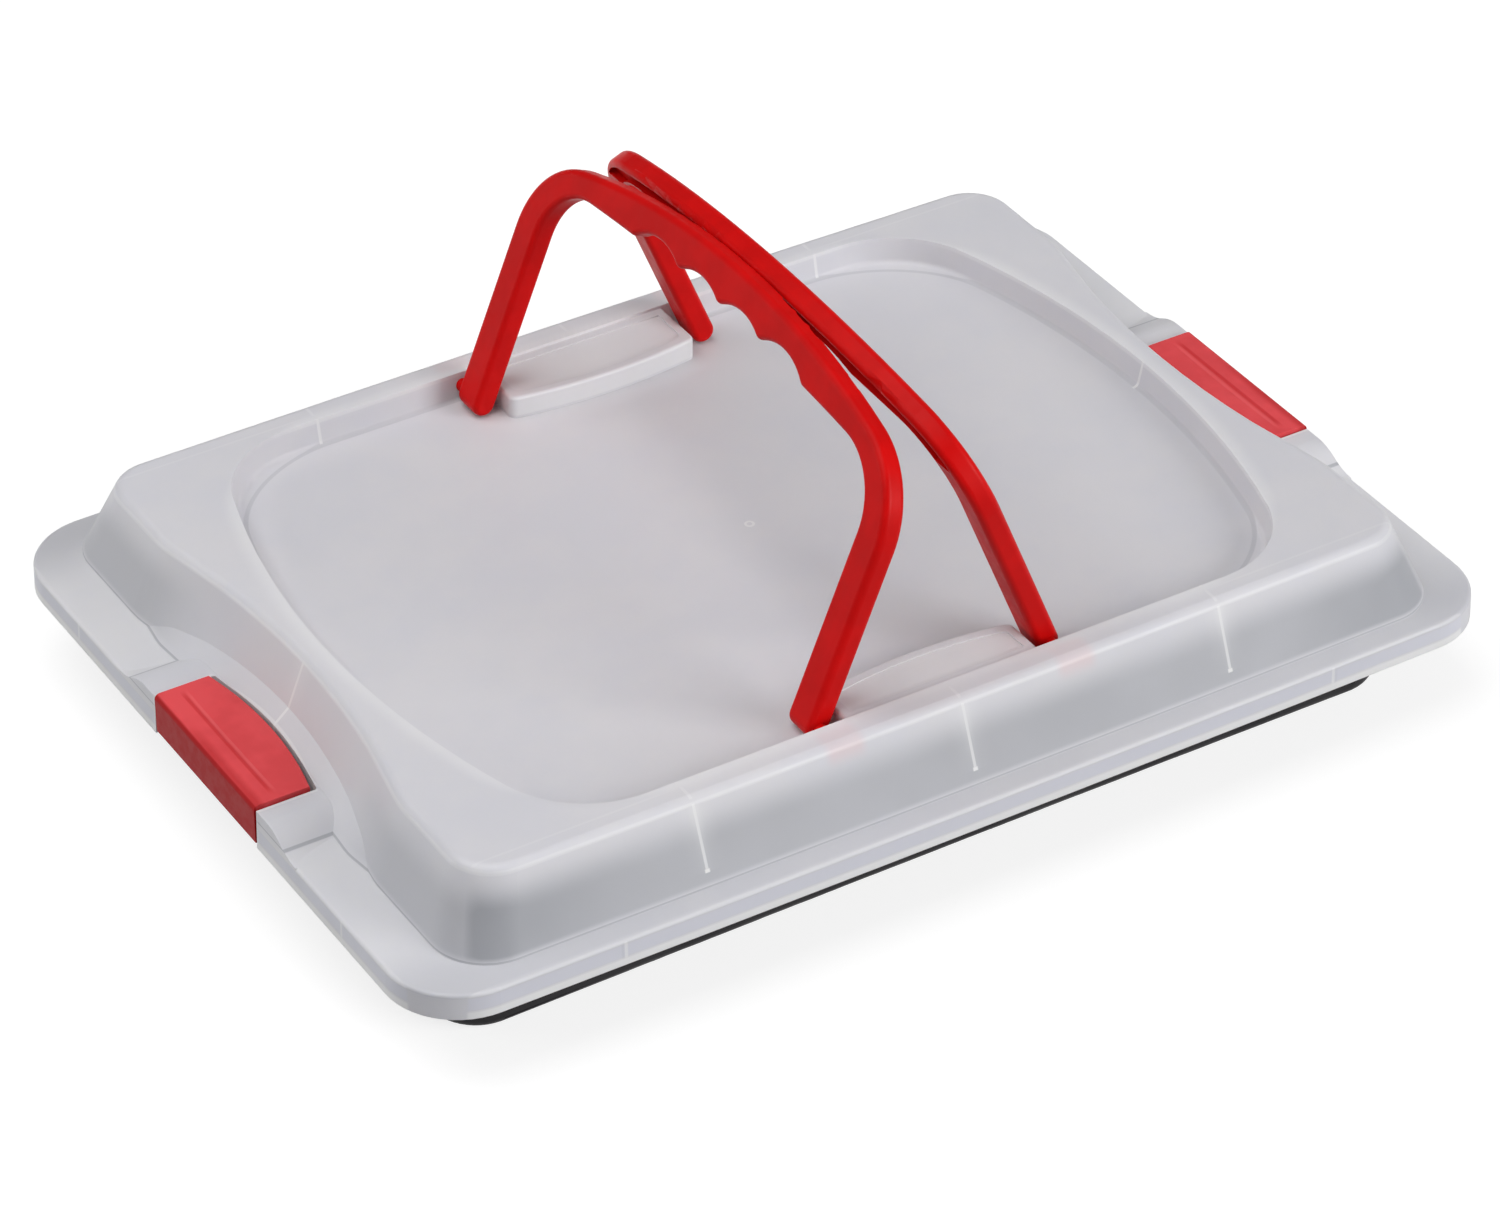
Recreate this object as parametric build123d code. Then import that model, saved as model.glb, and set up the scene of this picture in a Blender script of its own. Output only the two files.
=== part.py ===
from build123d import *
import math
import os

# A steel baking pan with a plastic carrying lid. The lid drops over the pan's rim, two bail
# handles fold into a basin in its top, and a hinged clip on each short end holds it down.
# Millimetres. X runs along the long side, Y along the short side and Z up.
# The origin is the centre of the pan's underside.

# Pan, pressed from thin sheet with a rolled rim
pan_height = 39.5
pan_sheet = 0.8
pan_flange_end = 9.5
pan_flange_side = 11.5
pan_corner = 18.0
pan_foot_bow = -1.0
pan_bottom_radius = 6.0
pan_draft = 17.0
bead_radius = 2.0

# Lid, outside sizes
lid_length = 420.0
lid_width = 299.4
lid_corner = 27.0
lid_bow = 1.2
lid_wall = 1.4
skirt_height = 9.4
skirt_draft = 0.3
flange_rise = 1.25
flange_overrun = 1.5
flange_edge_radius = 1.2
flange_end_width = 17.6
flange_side_width = 8.0
lid_rise = 28.3
wall_run_end = 11.3
wall_run_side = 11.6
wall_base_corner = 20.6
wall_top_corner = 15.8
shoulder_radius = 3.5

# Finger dent in each end wall, in plan: an arc between two slanted lines
dent_depth = 10.0
dent_side = 6.25
dent_mouth = 83.5
dent_waist = 51.0
dent_round = 48.0

# Sloped bench between that wall and the clip
bench_slope = 41.0
bench_reach = 18.2
bench_radius = 800.0
bench_half = 67.0
bench_tip = 84.0
bench_tip_round = 25.0

# Basin in the lid's top, shaped like a barrel in plan
rim_band_end = 18.1
rim_band_side = 9.1
basin_end_radius = 320.0
basin_corner = 38.0
basin_depth = 9.5
basin_draft_run = 2.0
basin_floor_radius = 2.0

# Arched seats in the basin, against its long walls
seat_length = 75.0
seat_drop = 1.0
seat_reach_back = 26.5
seat_reach_front = 21.0
seat_arch = 3.5
seat_corner = 3.0
seat_edge_radius = 1.2
seat_dish_depth = 0.5
seat_dish_border = 3.6

# Bail handles
handle_height = 110.2
handle_side_gap = 4.4
handle_bar = 13.2
handle_thickness = 8.5
handle_crown_radius = 355.0
handle_corner = 34.0
handle_inner_corner = 24.0
grip_height = 16.2
grip_arch = 5.6
finger_pitch = 25.5
finger_count = 4
finger_radius = 23.0
finger_depth = 4.2
finger_blend = 3.0
outer_edge_radius = 2.4
inner_edge_radius = 2.0
channel_depth = 2.6
channel_border = 2.2
channel_start = 84.0
pivot_spacing = 90.0
pin_radius = 2.4
pin_length = 8.0
pin_boss_radius = 4.2

# End clips
clip_length = 71.0
clip_reach = 24.9
clip_arc_radius = 150.0
clip_leg_height = 14.9
clip_leg_lift = 1.5
clip_plate = 1.6
clip_leg = 1.7
clip_edge_radius = 2.0
clip_lip_radius = 0.7
clip_swing = 75.0
dish_depth = 0.7
dish_half_length = 34.0
dish_inset = 8.0
dish_fall = 2.6
dish_width = 12.5
catch_length = 56.0
catch_height = 2.0
hinge_inset = 18.5
hinge_rise = 3.8
hinge_pin_radius = 1.0
hinge_boss_radius = 2.3
hinge_boss_length = 3.0
well_half = 32.5
pocket_corner = 1.0

# Raised shoulders beside each clip
plateau_rise = 5.6
plateau_half = 43.0
slope_end = 63.0

# Ribs inside the lid
web_width = 1.2
web_offset = 102.0
web_foot_rise = 2.5
locator_offset_side = 138.0
locator_offset_end = 94.0
locator_width = 1.5

# Clearances
lid_gap = 0.3
rim_gap = 1.9
catch_gap = 0.3
running_gap = 0.07
hinge_gap = 0.3
clip_lip_gap = 1.2
clip_corner_gap = 2.1
clip_end_gap = 0.8
clip_leg_gap = 2.0
locator_gap = 0.3
handle_floor_gap = 0.45
handle_meeting_gap = 0.3

# Levels and places that follow from the sizes above
flange_level = pan_height + lid_gap + lid_wall
skirt_bottom = flange_level - skirt_height
basin_length = lid_length - 2 * (flange_end_width + wall_run_end + rim_band_end)
basin_width = lid_width - 2 * (flange_side_width + wall_run_side + rim_band_side)
handle_width = basin_width - 2 * handle_side_gap
wall_foot_level = flange_level + flange_rise
rim_level = wall_foot_level + lid_rise
basin_floor = rim_level - basin_depth
seat_level = rim_level - seat_drop
pivot_level = basin_floor + handle_floor_gap + handle_thickness / 2
plateau_level = flange_level + plateau_rise
clip_foot = skirt_bottom + clip_leg_lift
clip_top = clip_foot + clip_leg_height
rim_inset = skirt_draft + lid_wall + rim_gap
rim_half_length = lid_length / 2 - rim_inset
rim_half_width = lid_width / 2 - rim_inset
pan_lean = pan_height * math.tan(math.radians(pan_draft))
pan_foot_length = 2 * (rim_half_length - pan_flange_end - pan_lean)
pan_foot_width = 2 * (rim_half_width - pan_flange_side - pan_lean)
bench_run = 1 / math.tan(math.radians(bench_slope))
bench_shelf = flange_end_width + dent_depth - bench_reach
bench_rise = bench_shelf / (bench_run - wall_run_end / lid_rise) + 2 * lid_wall
pocket_half = clip_length / 2 + clip_end_gap
hinge_x = lid_length / 2 - hinge_inset
hinge_level = flange_level + hinge_rise
pocket_lip = lid_length / 2 - clip_leg - clip_leg_gap
lip_swing = math.radians(clip_swing)
lip_drop = (clip_reach - hinge_inset) * math.sin(lip_swing)
lip_lift = (clip_top - clip_plate - hinge_level) * math.cos(lip_swing)
well_level = hinge_level - lip_drop + lip_lift - hinge_gap
big = 3 * lid_length


def bowed_rectangle(length, width, corner, bow):
    """Round-cornered rectangle whose long sides bulge outwards by bow in the middle."""
    x = length / 2
    y = width / 2
    outline = [
        Line((-x, y), (-x, -y)),
        ThreePointArc((-x, -y), (0, -y - bow), (x, -y)),
        Line((x, -y), (x, y)),
        ThreePointArc((x, y), (0, y + bow), (-x, y)),
    ]
    face = make_face(outline)
    return fillet(face.vertices(), corner)


def nearest_corners(sketch, points):
    """The corners of a sketch that lie nearest the given points."""
    return [sketch.vertices().sort_by_distance(point)[0] for point in points]


def four_ways(x, y):
    """The point and its mirror images in both middle planes."""
    return [(x, y), (-x, y), (x, -y), (-x, -y)]


def extruded(sketch, bottom, top):
    """A prism on the sketch, from one level up to another."""
    return extrude(Pos(0, 0, bottom) * sketch, top - bottom)


def block(x_range, y_range, z_range):
    """A box between two values on each axis."""
    size = [high - low for low, high in (x_range, y_range, z_range)]
    centre = [(high + low) / 2 for low, high in (x_range, y_range, z_range)]
    return Pos(*centre) * Box(*size)


def rod_along_y(x, z, radius, y_from, y_to):
    """A round bar along Y."""
    length = y_to - y_from
    return Pos(x, (y_from + y_to) / 2, z) * Rot(90, 0, 0) * Cylinder(radius, length)


def both_sides(part):
    """The part and its mirror image in the plane Y = 0."""
    return part + mirror(part, Plane.XZ)


def both_ends(part):
    """The part and its mirror image in the plane X = 0."""
    return part + mirror(part, Plane.YZ)


# Pan


def pan_outline(level, inset):
    """The pan's wall at a level, moved in by inset. The sides lean out by pan_draft, and the
    long sides go from the foot's bow to the lid's."""
    spread = level * math.tan(math.radians(pan_draft)) - inset
    bow = pan_foot_bow + (lid_bow - pan_foot_bow) * level / pan_height
    outline = bowed_rectangle(
        pan_foot_length + 2 * spread,
        pan_foot_width + 2 * spread,
        pan_corner - inset,
        bow,
    )
    return Pos(0, 0, level) * outline


def pan_tub(inset, floor, top):
    """The tub as a solid between two levels, with its bottom edge rounded."""
    tub = loft([pan_outline(floor, inset).face(), pan_outline(top, inset).face()], ruled=True)
    bottom_edges = tub.faces().sort_by(Axis.Z)[0].edges()
    return fillet(bottom_edges, pan_bottom_radius - inset)


def rim_outline(inset):
    """The rim's outer edge, moved in by inset."""
    return bowed_rectangle(
        2 * rim_half_length - 2 * inset,
        2 * rim_half_width - 2 * inset,
        lid_corner - rim_inset - inset,
        lid_bow,
    )


def make_pan():
    """The pressed tub, its flat flange and the bead rolled at the flange's edge."""
    tub = pan_tub(0, 0, pan_height)
    hollow = pan_tub(pan_sheet, pan_sheet, pan_height + pan_sheet)
    flange = extruded(rim_outline(bead_radius), pan_height - pan_sheet, pan_height)
    path = Pos(0, 0, pan_height - bead_radius) * rim_outline(bead_radius).wire()
    start = path @ 0
    section = Plane(origin=start, z_dir=path % 0) * Circle(bead_radius)
    bead = sweep(section, path=path)
    return tub + flange + bead - hollow


# Lid


def skirt_outline(level, inset):
    """The skirt at a level, moved in by inset. It leans in by skirt_draft over its height."""
    lean = skirt_draft * (level - skirt_bottom) / skirt_height
    outline = bowed_rectangle(
        lid_length - 2 * lean - 2 * inset,
        lid_width - 2 * lean - 2 * inset,
        lid_corner - lean - inset,
        lid_bow,
    )
    return Pos(0, 0, level) * outline


def wall_outline(level, inset):
    """The lid's wall at a level, moved in by inset. Each end has the finger dent: a shallow arc
    between two slanted lines."""
    share = (level - wall_foot_level) / lid_rise
    x = lid_length / 2 - flange_end_width - wall_run_end * share - inset
    y = lid_width / 2 - flange_side_width - wall_run_side * share - inset
    side_x = x - dent_side
    middle_x = x - dent_depth
    face = make_face(
        [
            ThreePointArc((-x, y), (0, y + lid_bow), (x, y)),
            Line((x, y), (x, dent_mouth)),
            Line((x, dent_mouth), (side_x, dent_waist)),
            ThreePointArc((side_x, dent_waist), (middle_x, 0), (side_x, -dent_waist)),
            Line((side_x, -dent_waist), (x, -dent_mouth)),
            Line((x, -dent_mouth), (x, -y)),
            ThreePointArc((x, -y), (0, -y - lid_bow), (-x, -y)),
            Line((-x, -y), (-x, -dent_mouth)),
            Line((-x, -dent_mouth), (-side_x, -dent_waist)),
            ThreePointArc((-side_x, -dent_waist), (-middle_x, 0), (-side_x, dent_waist)),
            Line((-side_x, dent_waist), (-x, dent_mouth)),
            Line((-x, dent_mouth), (-x, y)),
        ]
    )
    face = fillet(nearest_corners(face, four_ways(x, dent_mouth)), dent_round)
    face = fillet(nearest_corners(face, four_ways(side_x, dent_waist)), dent_round)
    corner = wall_base_corner + (wall_top_corner - wall_base_corner) * share - inset
    face = fillet(nearest_corners(face, four_ways(x, y)), corner)
    return Pos(0, 0, level) * face


def barrel_outline(grow):
    """The basin's outline at the rim, made larger by grow."""
    half_length = basin_length / 2 + grow
    half_width = basin_width / 2 + grow
    end_radius = basin_end_radius + grow
    x = half_length - end_radius + math.sqrt(end_radius**2 - half_width**2)
    face = make_face(
        [
            Line((-x, half_width), (x, half_width)),
            ThreePointArc((x, half_width), (half_length, 0), (x, -half_width)),
            Line((x, -half_width), (-x, -half_width)),
            ThreePointArc((-x, -half_width), (-half_length, 0), (-x, half_width)),
        ]
    )
    return fillet(face.vertices(), basin_corner + grow)


def seat_plan(side, reach, border):
    """An arched seat in plan, its edges moved in by border. Side is 1 at the back."""
    half = seat_length / 2 - border
    wall = side * (basin_width / 2 + lid_wall)
    tip = side * (basin_width / 2 - reach + border)
    end = tip + side * seat_arch
    face = make_face(
        [
            ThreePointArc((-half, end), (0, tip), (half, end)),
            Line((half, end), (half, wall)),
            Line((half, wall), (-half, wall)),
            Line((-half, wall), (-half, end)),
        ]
    )
    corners = nearest_corners(face, [(half, end), (-half, end)])
    return fillet(corners, seat_corner)


def seat(side, reach, inset):
    """An arched seat as a solid, its faces moved in by inset."""
    top = seat_level - inset
    body = extruded(seat_plan(side, reach, inset), basin_floor - basin_depth, top)
    if inset > 0:
        return body
    top_edges = body.faces().sort_by(Axis.Z)[-1].edges()
    inner_edges = top_edges.filter_by(
        lambda edge: abs(edge.center().Y) < basin_width / 2
    )
    return fillet(inner_edges, seat_edge_radius)


def basin(inset):
    """The space of the basin, its walls and floor moved out by inset, less the two seats."""
    floor = basin_floor - inset
    top = rim_level + basin_floor_radius
    slope = basin_draft_run / basin_depth
    low = Pos(0, 0, floor) * barrel_outline(inset - basin_draft_run)
    high = Pos(0, 0, top) * barrel_outline(inset + slope * (top - rim_level))
    space = loft([low.face(), high.face()], ruled=True)
    floor_edges = space.faces().sort_by(Axis.Z)[0].edges()
    space = fillet(floor_edges, basin_floor_radius + inset)
    space -= seat(1, seat_reach_back, inset)
    space -= seat(-1, seat_reach_front, inset)
    return space


def bench_outline(rise, inset):
    """One sloped bench in plan at a rise above the flange, at the +X end, moved in by inset."""
    back = rise * bench_run + inset / math.sin(math.radians(bench_slope))
    x = lid_length / 2 - bench_reach - back
    arc_x = x + bench_radius - math.sqrt(bench_radius**2 - bench_half**2)
    tip_x = lid_length / 2 - flange_end_width - back
    inner_x = basin_length / 2
    face = make_face(
        [
            ThreePointArc((arc_x, -bench_half), (x, 0), (arc_x, bench_half)),
            Line((arc_x, bench_half), (tip_x, bench_tip)),
            Line((tip_x, bench_tip), (inner_x, bench_tip)),
            Line((inner_x, bench_tip), (inner_x, -bench_tip)),
            Line((inner_x, -bench_tip), (tip_x, -bench_tip)),
            Line((tip_x, -bench_tip), (arc_x, -bench_half)),
        ]
    )
    corners = nearest_corners(face, [(arc_x, bench_half), (arc_x, -bench_half)])
    return Pos(0, 0, flange_level + rise) * fillet(corners, bench_tip_round)


def bench(inset):
    """One sloped bench as a solid, at the +X end. It rises until it is inside the wall."""
    low = bench_outline(-2 * lid_wall, inset)
    high = bench_outline(bench_rise, inset)
    return loft([low.face(), high.face()], ruled=True)


def clip_end_x():
    """Where the clip's inner edge ends, at the +X end."""
    half = clip_length / 2
    sagitta = clip_arc_radius - math.sqrt(clip_arc_radius**2 - half**2)
    return lid_length / 2 - clip_reach + sagitta


def pocket_plan(grow):
    """One clip's pocket in plan, at the +X end, made larger by grow. Its inner wall is an arc
    with room for the clip's inner edge to swing."""
    middle_x = lid_length / 2 - clip_reach - clip_lip_gap - grow
    side_x = clip_end_x() - clip_corner_gap - grow
    half = pocket_half + grow
    face = make_face(
        [
            ThreePointArc((side_x, -half), (middle_x, 0), (side_x, half)),
            Line((side_x, half), (lid_length, half)),
            Line((lid_length, half), (lid_length, -half)),
            Line((lid_length, -half), (side_x, -half)),
        ]
    )
    corners = nearest_corners(face, [(side_x, half), (side_x, -half)])
    return fillet(corners, pocket_corner + grow)


def pocket(inset):
    """One clip's pocket as a space, at the +X end, made larger by inset, with the well that the
    clip's inner lip dips into as it opens."""
    space = extruded(pocket_plan(inset), flange_level - inset, rim_level)
    well_x = hinge_x - clip_plate + inset
    well = extruded(pocket_plan(inset), well_level - inset, rim_level)
    well &= block((0, well_x), (-well_half - inset, well_half + inset), (0, big))
    return space + well


def shoulder(inset):
    """The raised shoulders beside one clip, moved in by inset: level next to the clip, then an
    S-shaped slope of two equal arcs down to the flange on each side."""
    top = plateau_level - inset
    low = flange_level - inset
    crest = (plateau_half, top)
    middle = ((plateau_half + slope_end) / 2, (top + low) / 2)
    foot = (slope_end, low)
    buried = low - lid_wall
    first_arc = TangentArc(crest, middle, tangent=(1, 0))
    profile = make_face(
        [
            Line((0, top), crest),
            first_arc,
            TangentArc(middle, foot, tangent=first_arc % 1),
            Line(foot, (slope_end, buried)),
            Line((slope_end, buried), (0, buried)),
            Line((0, buried), (0, top)),
        ]
    )
    bar = extrude(Plane.YZ * profile, lid_length)
    envelope = loft(
        [skirt_outline(buried, inset).face(), skirt_outline(plateau_level, inset).face()],
        ruled=True,
    )
    body = (bar & envelope) - block((-big, basin_length / 2), (-big, big), (-big, big))
    return both_sides(body)


def flange_body(inset):
    """Skirt and flange as a solid, moved in by inset, with the rounded edge between them. The
    flange's slope runs on a little inside the wall."""
    bottom = skirt_bottom - (lid_wall if inset > 0 else 0)
    edge = flange_level - inset
    skirt = loft(
        [skirt_outline(bottom, inset).face(), skirt_outline(edge, inset).face()], ruled=True
    )
    corner = lid_corner + (wall_base_corner - lid_corner) * flange_overrun
    foot = bowed_rectangle(
        lid_length - 2 * flange_end_width * flange_overrun - 2 * inset,
        lid_width - 2 * flange_side_width * flange_overrun - 2 * inset,
        corner - inset,
        lid_bow,
    )
    foot = Pos(0, 0, edge + flange_rise * flange_overrun) * foot
    slope = loft([skirt_outline(edge, inset).face(), foot.face()], ruled=True)
    body = skirt + slope
    if inset > 0:
        return body
    edge_loop = body.edges().filter_by(lambda e: abs(e.center().Z - edge) < lid_gap)
    return fillet(edge_loop, flange_edge_radius)


def wall_body(inset):
    """The lid's wall as a solid, moved in by inset, with its top edge rounded."""
    low = wall_outline(flange_level - lid_wall, inset)
    high = wall_outline(rim_level - inset, inset)
    body = loft([low.face(), high.face()], ruled=True)
    top_edges = body.faces().sort_by(Axis.Z)[-1].edges()
    return fillet(top_edges, shoulder_radius - inset)


def lid_skin(inset):
    """The lid as a full solid, moved in by inset. The lid is the skin at 0 less the skin at the
    wall's thickness."""
    low_part = flange_body(inset) + both_ends(shoulder(inset)) + both_ends(bench(inset))
    return low_part + wall_body(inset) - both_ends(pocket(inset)) - basin(inset)


def lid_webs(hollow):
    """Thin upright webs that brace the hollow rim, seen as fine lines through the lid."""
    half = web_width / 2
    inner_y = basin_width / 2 - basin_draft_run
    levels = (wall_foot_level + web_foot_rise, rim_level)
    side_web = block((-half, half), (inner_y, lid_width / 2), levels)
    webs = both_sides(side_web)
    webs += both_ends(both_sides(Pos(web_offset, 0, 0) * side_web))
    inner_x = basin_length / 2 - basin_draft_run
    levels = (flange_level - lid_wall, rim_level)
    webs += both_ends(block((inner_x, lid_length / 2), (-half, half), levels))
    return webs & hollow


def lid_locators(hollow):
    """Short ribs inside the skirt that centre the lid on the pan's bead."""
    half = locator_width / 2
    levels = (skirt_bottom + half, flange_level)
    y = lid_width / 2
    side_rib = block((-half, half), (y - 2 * rim_inset, y + lid_bow), levels)
    ribs = both_ends(both_sides(Pos(locator_offset_side, 0, 0) * side_rib))
    x = lid_length / 2
    end_rib = block((x - 2 * rim_inset, x), (-half, half), levels)
    ribs += both_ends(both_sides(Pos(0, locator_offset_end, 0) * end_rib))
    rim_space = extruded(rim_outline(-locator_gap), 0, pan_height + locator_gap)
    return (ribs & hollow) - rim_space


def hinge_bosses(hollow):
    """Bosses behind the pocket's cheeks, where the clips' pins turn."""
    far = pocket_half + lid_wall + hinge_boss_length
    boss = rod_along_y(hinge_x, hinge_level, hinge_boss_radius, pocket_half, far)
    return both_ends(both_sides(boss)) & hollow


def hinge_bores():
    """The holes for the clips' pins."""
    near = pocket_half - lid_wall / 2
    far = pocket_half + 2 * lid_wall + hinge_boss_length
    bore = hinge_pin_radius + running_gap
    return both_ends(both_sides(rod_along_y(hinge_x, hinge_level, bore, near, far)))


def pin_bosses(hollow):
    """Bosses behind the basin's long walls, where the handles' pins turn."""
    inner = basin_width / 2 - basin_draft_run
    outer = handle_width / 2 + pin_length + lid_wall
    boss = rod_along_y(pivot_spacing / 2, pivot_level, pin_boss_radius, inner, outer)
    return both_ends(both_sides(boss)) & hollow


def pin_bores():
    """The holes for the handles' pins."""
    inner = handle_width / 2
    outer = inner + pin_length + 2 * lid_wall
    bore = pin_radius + running_gap
    hole = rod_along_y(pivot_spacing / 2, pivot_level, bore, inner, outer)
    return both_ends(both_sides(hole))


def seat_dishes():
    """The shallow dish in each seat's top."""
    dishes = None
    for side, reach in ((1, seat_reach_back), (-1, seat_reach_front)):
        dish = extruded(
            seat_plan(side, reach, seat_dish_border), seat_level - seat_dish_depth, rim_level
        )
        edge_y = side * (basin_width / 2 - seat_dish_border)
        beyond = sorted((edge_y, edge_y + side * big))
        dish -= block((-big, big), beyond, (0, big))
        dishes = dish if dishes is None else dishes + dish
    return dishes


def clip_notches():
    """The gaps in the skirt and flange where the clips' legs hang."""
    notch = block((pocket_lip, lid_length), (-pocket_half, pocket_half), (0, big))
    return both_ends(notch)


def notch_cheeks(skin):
    """Short walls that close the skirt's cut edges beside each clip."""
    inner_x = rim_half_length + locator_gap
    y_range = (pocket_half, pocket_half + lid_wall)
    cheek = block((inner_x, lid_length), y_range, (skirt_bottom, flange_level))
    return both_ends(both_sides(cheek)) & skin


def make_lid():
    """The moulded lid: a thin shell with its basin, seats, benches, pockets, bosses and ribs."""
    skin = lid_skin(0)
    hollow = lid_skin(lid_wall)
    lid = skin - hollow
    lid += lid_webs(hollow)
    lid += pin_bosses(hollow)
    lid += hinge_bosses(hollow)
    lid += lid_locators(hollow)
    lid += notch_cheeks(skin)
    lid -= clip_notches()
    lid -= pin_bores()
    lid -= hinge_bores()
    lid -= seat_dishes()
    return lid


# Handles


def handle_plan(outer_border, inner_border):
    """The bail seen square on, its edges moved in by the borders: two legs, a crowned bar and
    the finger hollows under the grip. The sketch's x is across, its y up from the pivot."""
    x = handle_width / 2 - outer_border
    crown = handle_height - outer_border
    crown_radius = handle_crown_radius - outer_border
    side_y = crown - crown_radius + math.sqrt(crown_radius**2 - x**2)
    outer = make_face(
        [
            ThreePointArc((-x, side_y), (0, crown), (x, side_y)),
            Line((x, side_y), (x, 0)),
            Line((x, 0), (-x, 0)),
            Line((-x, 0), (-x, side_y)),
        ]
    )
    corners = nearest_corners(outer, [(x, side_y), (-x, side_y)])
    outer = fillet(corners, handle_corner - outer_border)

    leg_x = handle_width / 2 - handle_bar + inner_border
    grip_y = handle_height - grip_height + inner_border
    corner_y = grip_y - grip_arch
    inner = make_face(
        [
            ThreePointArc((-leg_x, corner_y), (0, grip_y), (leg_x, corner_y)),
            Line((leg_x, corner_y), (leg_x, -handle_bar)),
            Line((leg_x, -handle_bar), (-leg_x, -handle_bar)),
            Line((-leg_x, -handle_bar), (-leg_x, corner_y)),
        ]
    )
    corners = nearest_corners(inner, [(leg_x, corner_y), (-leg_x, corner_y)])
    inner = fillet(corners, handle_inner_corner + inner_border)
    inner += finger_hollows(inner_border)
    ridge_y = grip_y - finger_blend
    ridges = inner.vertices().filter_by(
        lambda v: abs(v.X) < finger_count * finger_pitch and v.Y > ridge_y
    )
    inner = fillet(ridges, finger_blend)
    return outer - inner


def finger_hollows(grow):
    """Circles that scoop one hollow for each finger."""
    y = handle_height - grip_height + finger_depth - finger_radius
    hollows = None
    for finger in range(finger_count):
        x = (finger - (finger_count - 1) / 2) * finger_pitch
        circle = Pos(x, y) * Circle(finger_radius + grow)
        hollows = circle if hollows is None else hollows + circle
    return hollows


def make_handle(side):
    """One bail: a bar of even thickness with rounded edges, a channel in the face towards the
    other bail along the crown, round feet and the pins it turns on. Side is -1 for the left
    one; it leans towards the other."""
    half = handle_thickness / 2
    body = extrude(Plane.YZ * handle_plan(0, 0), half, both=True)
    leg_inner = handle_width / 2 - handle_bar
    feet = both_sides(rod_along_y(0, 0, half, leg_inner, handle_width / 2))
    body += feet
    body = fillet(long_edges(body, True), outer_edge_radius)
    body = fillet(long_edges(body, False), inner_edge_radius)
    channel = handle_plan(channel_border, channel_border)
    channel &= Pos(0, channel_start + handle_height) * Rectangle(handle_width, 2 * handle_height)
    floor_x = half - channel_depth if side < 0 else -half
    body -= Pos(floor_x, 0, 0) * extrude(Plane.YZ * channel, channel_depth)
    pin_root = handle_width / 2 - handle_bar / 2
    body += both_sides(rod_along_y(0, 0, pin_radius, pin_root, handle_width / 2 + pin_length))
    return Pos(side * pivot_spacing / 2, 0, pivot_level) * Rot(0, -side * handle_lean(), 0) * body


def long_edges(body, outer):
    """The edges along the outside of the bail, or along its inside."""
    half = handle_thickness / 2
    chosen = []
    for edge in body.edges():
        centre = edge.center()
        on_face = abs(abs(centre.X) - half) < 0.01
        on_foot = centre.Z < 0 and edge.geom_type == GeomType.CIRCLE
        if not (on_face or on_foot):
            continue
        is_outer = max(abs(edge.bounding_box().max.Y), abs(edge.bounding_box().min.Y))
        leg_line = handle_width / 2 - handle_bar / 2
        crown_line = handle_height - grip_height / 2 - handle_corner / 2
        far_out = is_outer > leg_line or edge.bounding_box().max.Z > crown_line + handle_corner / 2
        if far_out == outer:
            chosen.append(edge)
    return chosen


def handle_lean():
    """How far a bail leans in, in degrees, until its rounded top edge meets the other bail's."""
    up = handle_height - outer_edge_radius
    out = handle_thickness / 2 - outer_edge_radius
    reach = pivot_spacing / 2 - outer_edge_radius - handle_meeting_gap / 2
    angle = math.asin(reach / math.hypot(up, out)) - math.atan2(out, up)
    return math.degrees(angle)


# Clips


def clip_plan():
    """The clip's top in plan, at the +X end: straight outside, an arc inside."""
    outer_x = lid_length / 2
    inner_x = outer_x - clip_reach
    half = clip_length / 2
    side_x = clip_end_x()
    return make_face(
        [
            ThreePointArc((side_x, -half), (inner_x, 0), (side_x, half)),
            Line((side_x, half), (outer_x, half)),
            Line((outer_x, half), (outer_x, -half)),
            Line((outer_x, -half), (side_x, -half)),
        ]
    )


def clip_cap():
    """The clip's cap: top plate, leg and end walls, as a shell open below and inwards. The end
    walls' inner corners are round about the hinge, so that they clear the pocket's floor."""
    outer_x = lid_length / 2
    cap = extruded(clip_plan(), clip_foot, clip_top)
    top_edges = cap.edges().filter_by(lambda edge: edge.center().Z > clip_top - 0.01)
    outer_edge = top_edges.sort_by(Axis.X)[-1]
    lip_edge = top_edges.sort_by(Axis.X)[0]
    cap = fillet(outer_edge, clip_edge_radius)
    cap = fillet(cap.edges().sort_by_distance(lip_edge.center())[0], clip_lip_radius)
    end_wall_foot = flange_level + hinge_gap
    under_plate = clip_top - clip_plate
    inside = clip_length / 2 - clip_plate
    leg_x = outer_x - clip_leg
    cap -= block((0, leg_x), (-big, big), (0, end_wall_foot))
    cap -= block((0, leg_x), (-inside, inside), (0, under_plate))
    heel = block((0, hinge_x), (-big, big), (0, hinge_level))
    turning = hinge_level - end_wall_foot
    return cap - (heel - rod_along_y(hinge_x, hinge_level, turning, -big, big))


def dish_section(share):
    """The finger dish across the clip, at a share of its half length from the middle: it falls
    quickly from a straight crease and climbs slowly to the clip's inner edge."""
    depth = dish_depth * (1 - share**2) + running_gap
    crease_x = lid_length / 2 - dish_inset
    low_x = crease_x - dish_fall
    end_x = crease_x - dish_width
    over = clip_top + clip_plate
    level = clip_top + running_gap
    section = make_face(
        Polyline(
            (crease_x, level), (low_x, level - depth), (end_x, level), (end_x, over),
            (crease_x, over), close=True,
        )
    )
    return Plane.XZ.offset(-share * dish_half_length) * section


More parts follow.
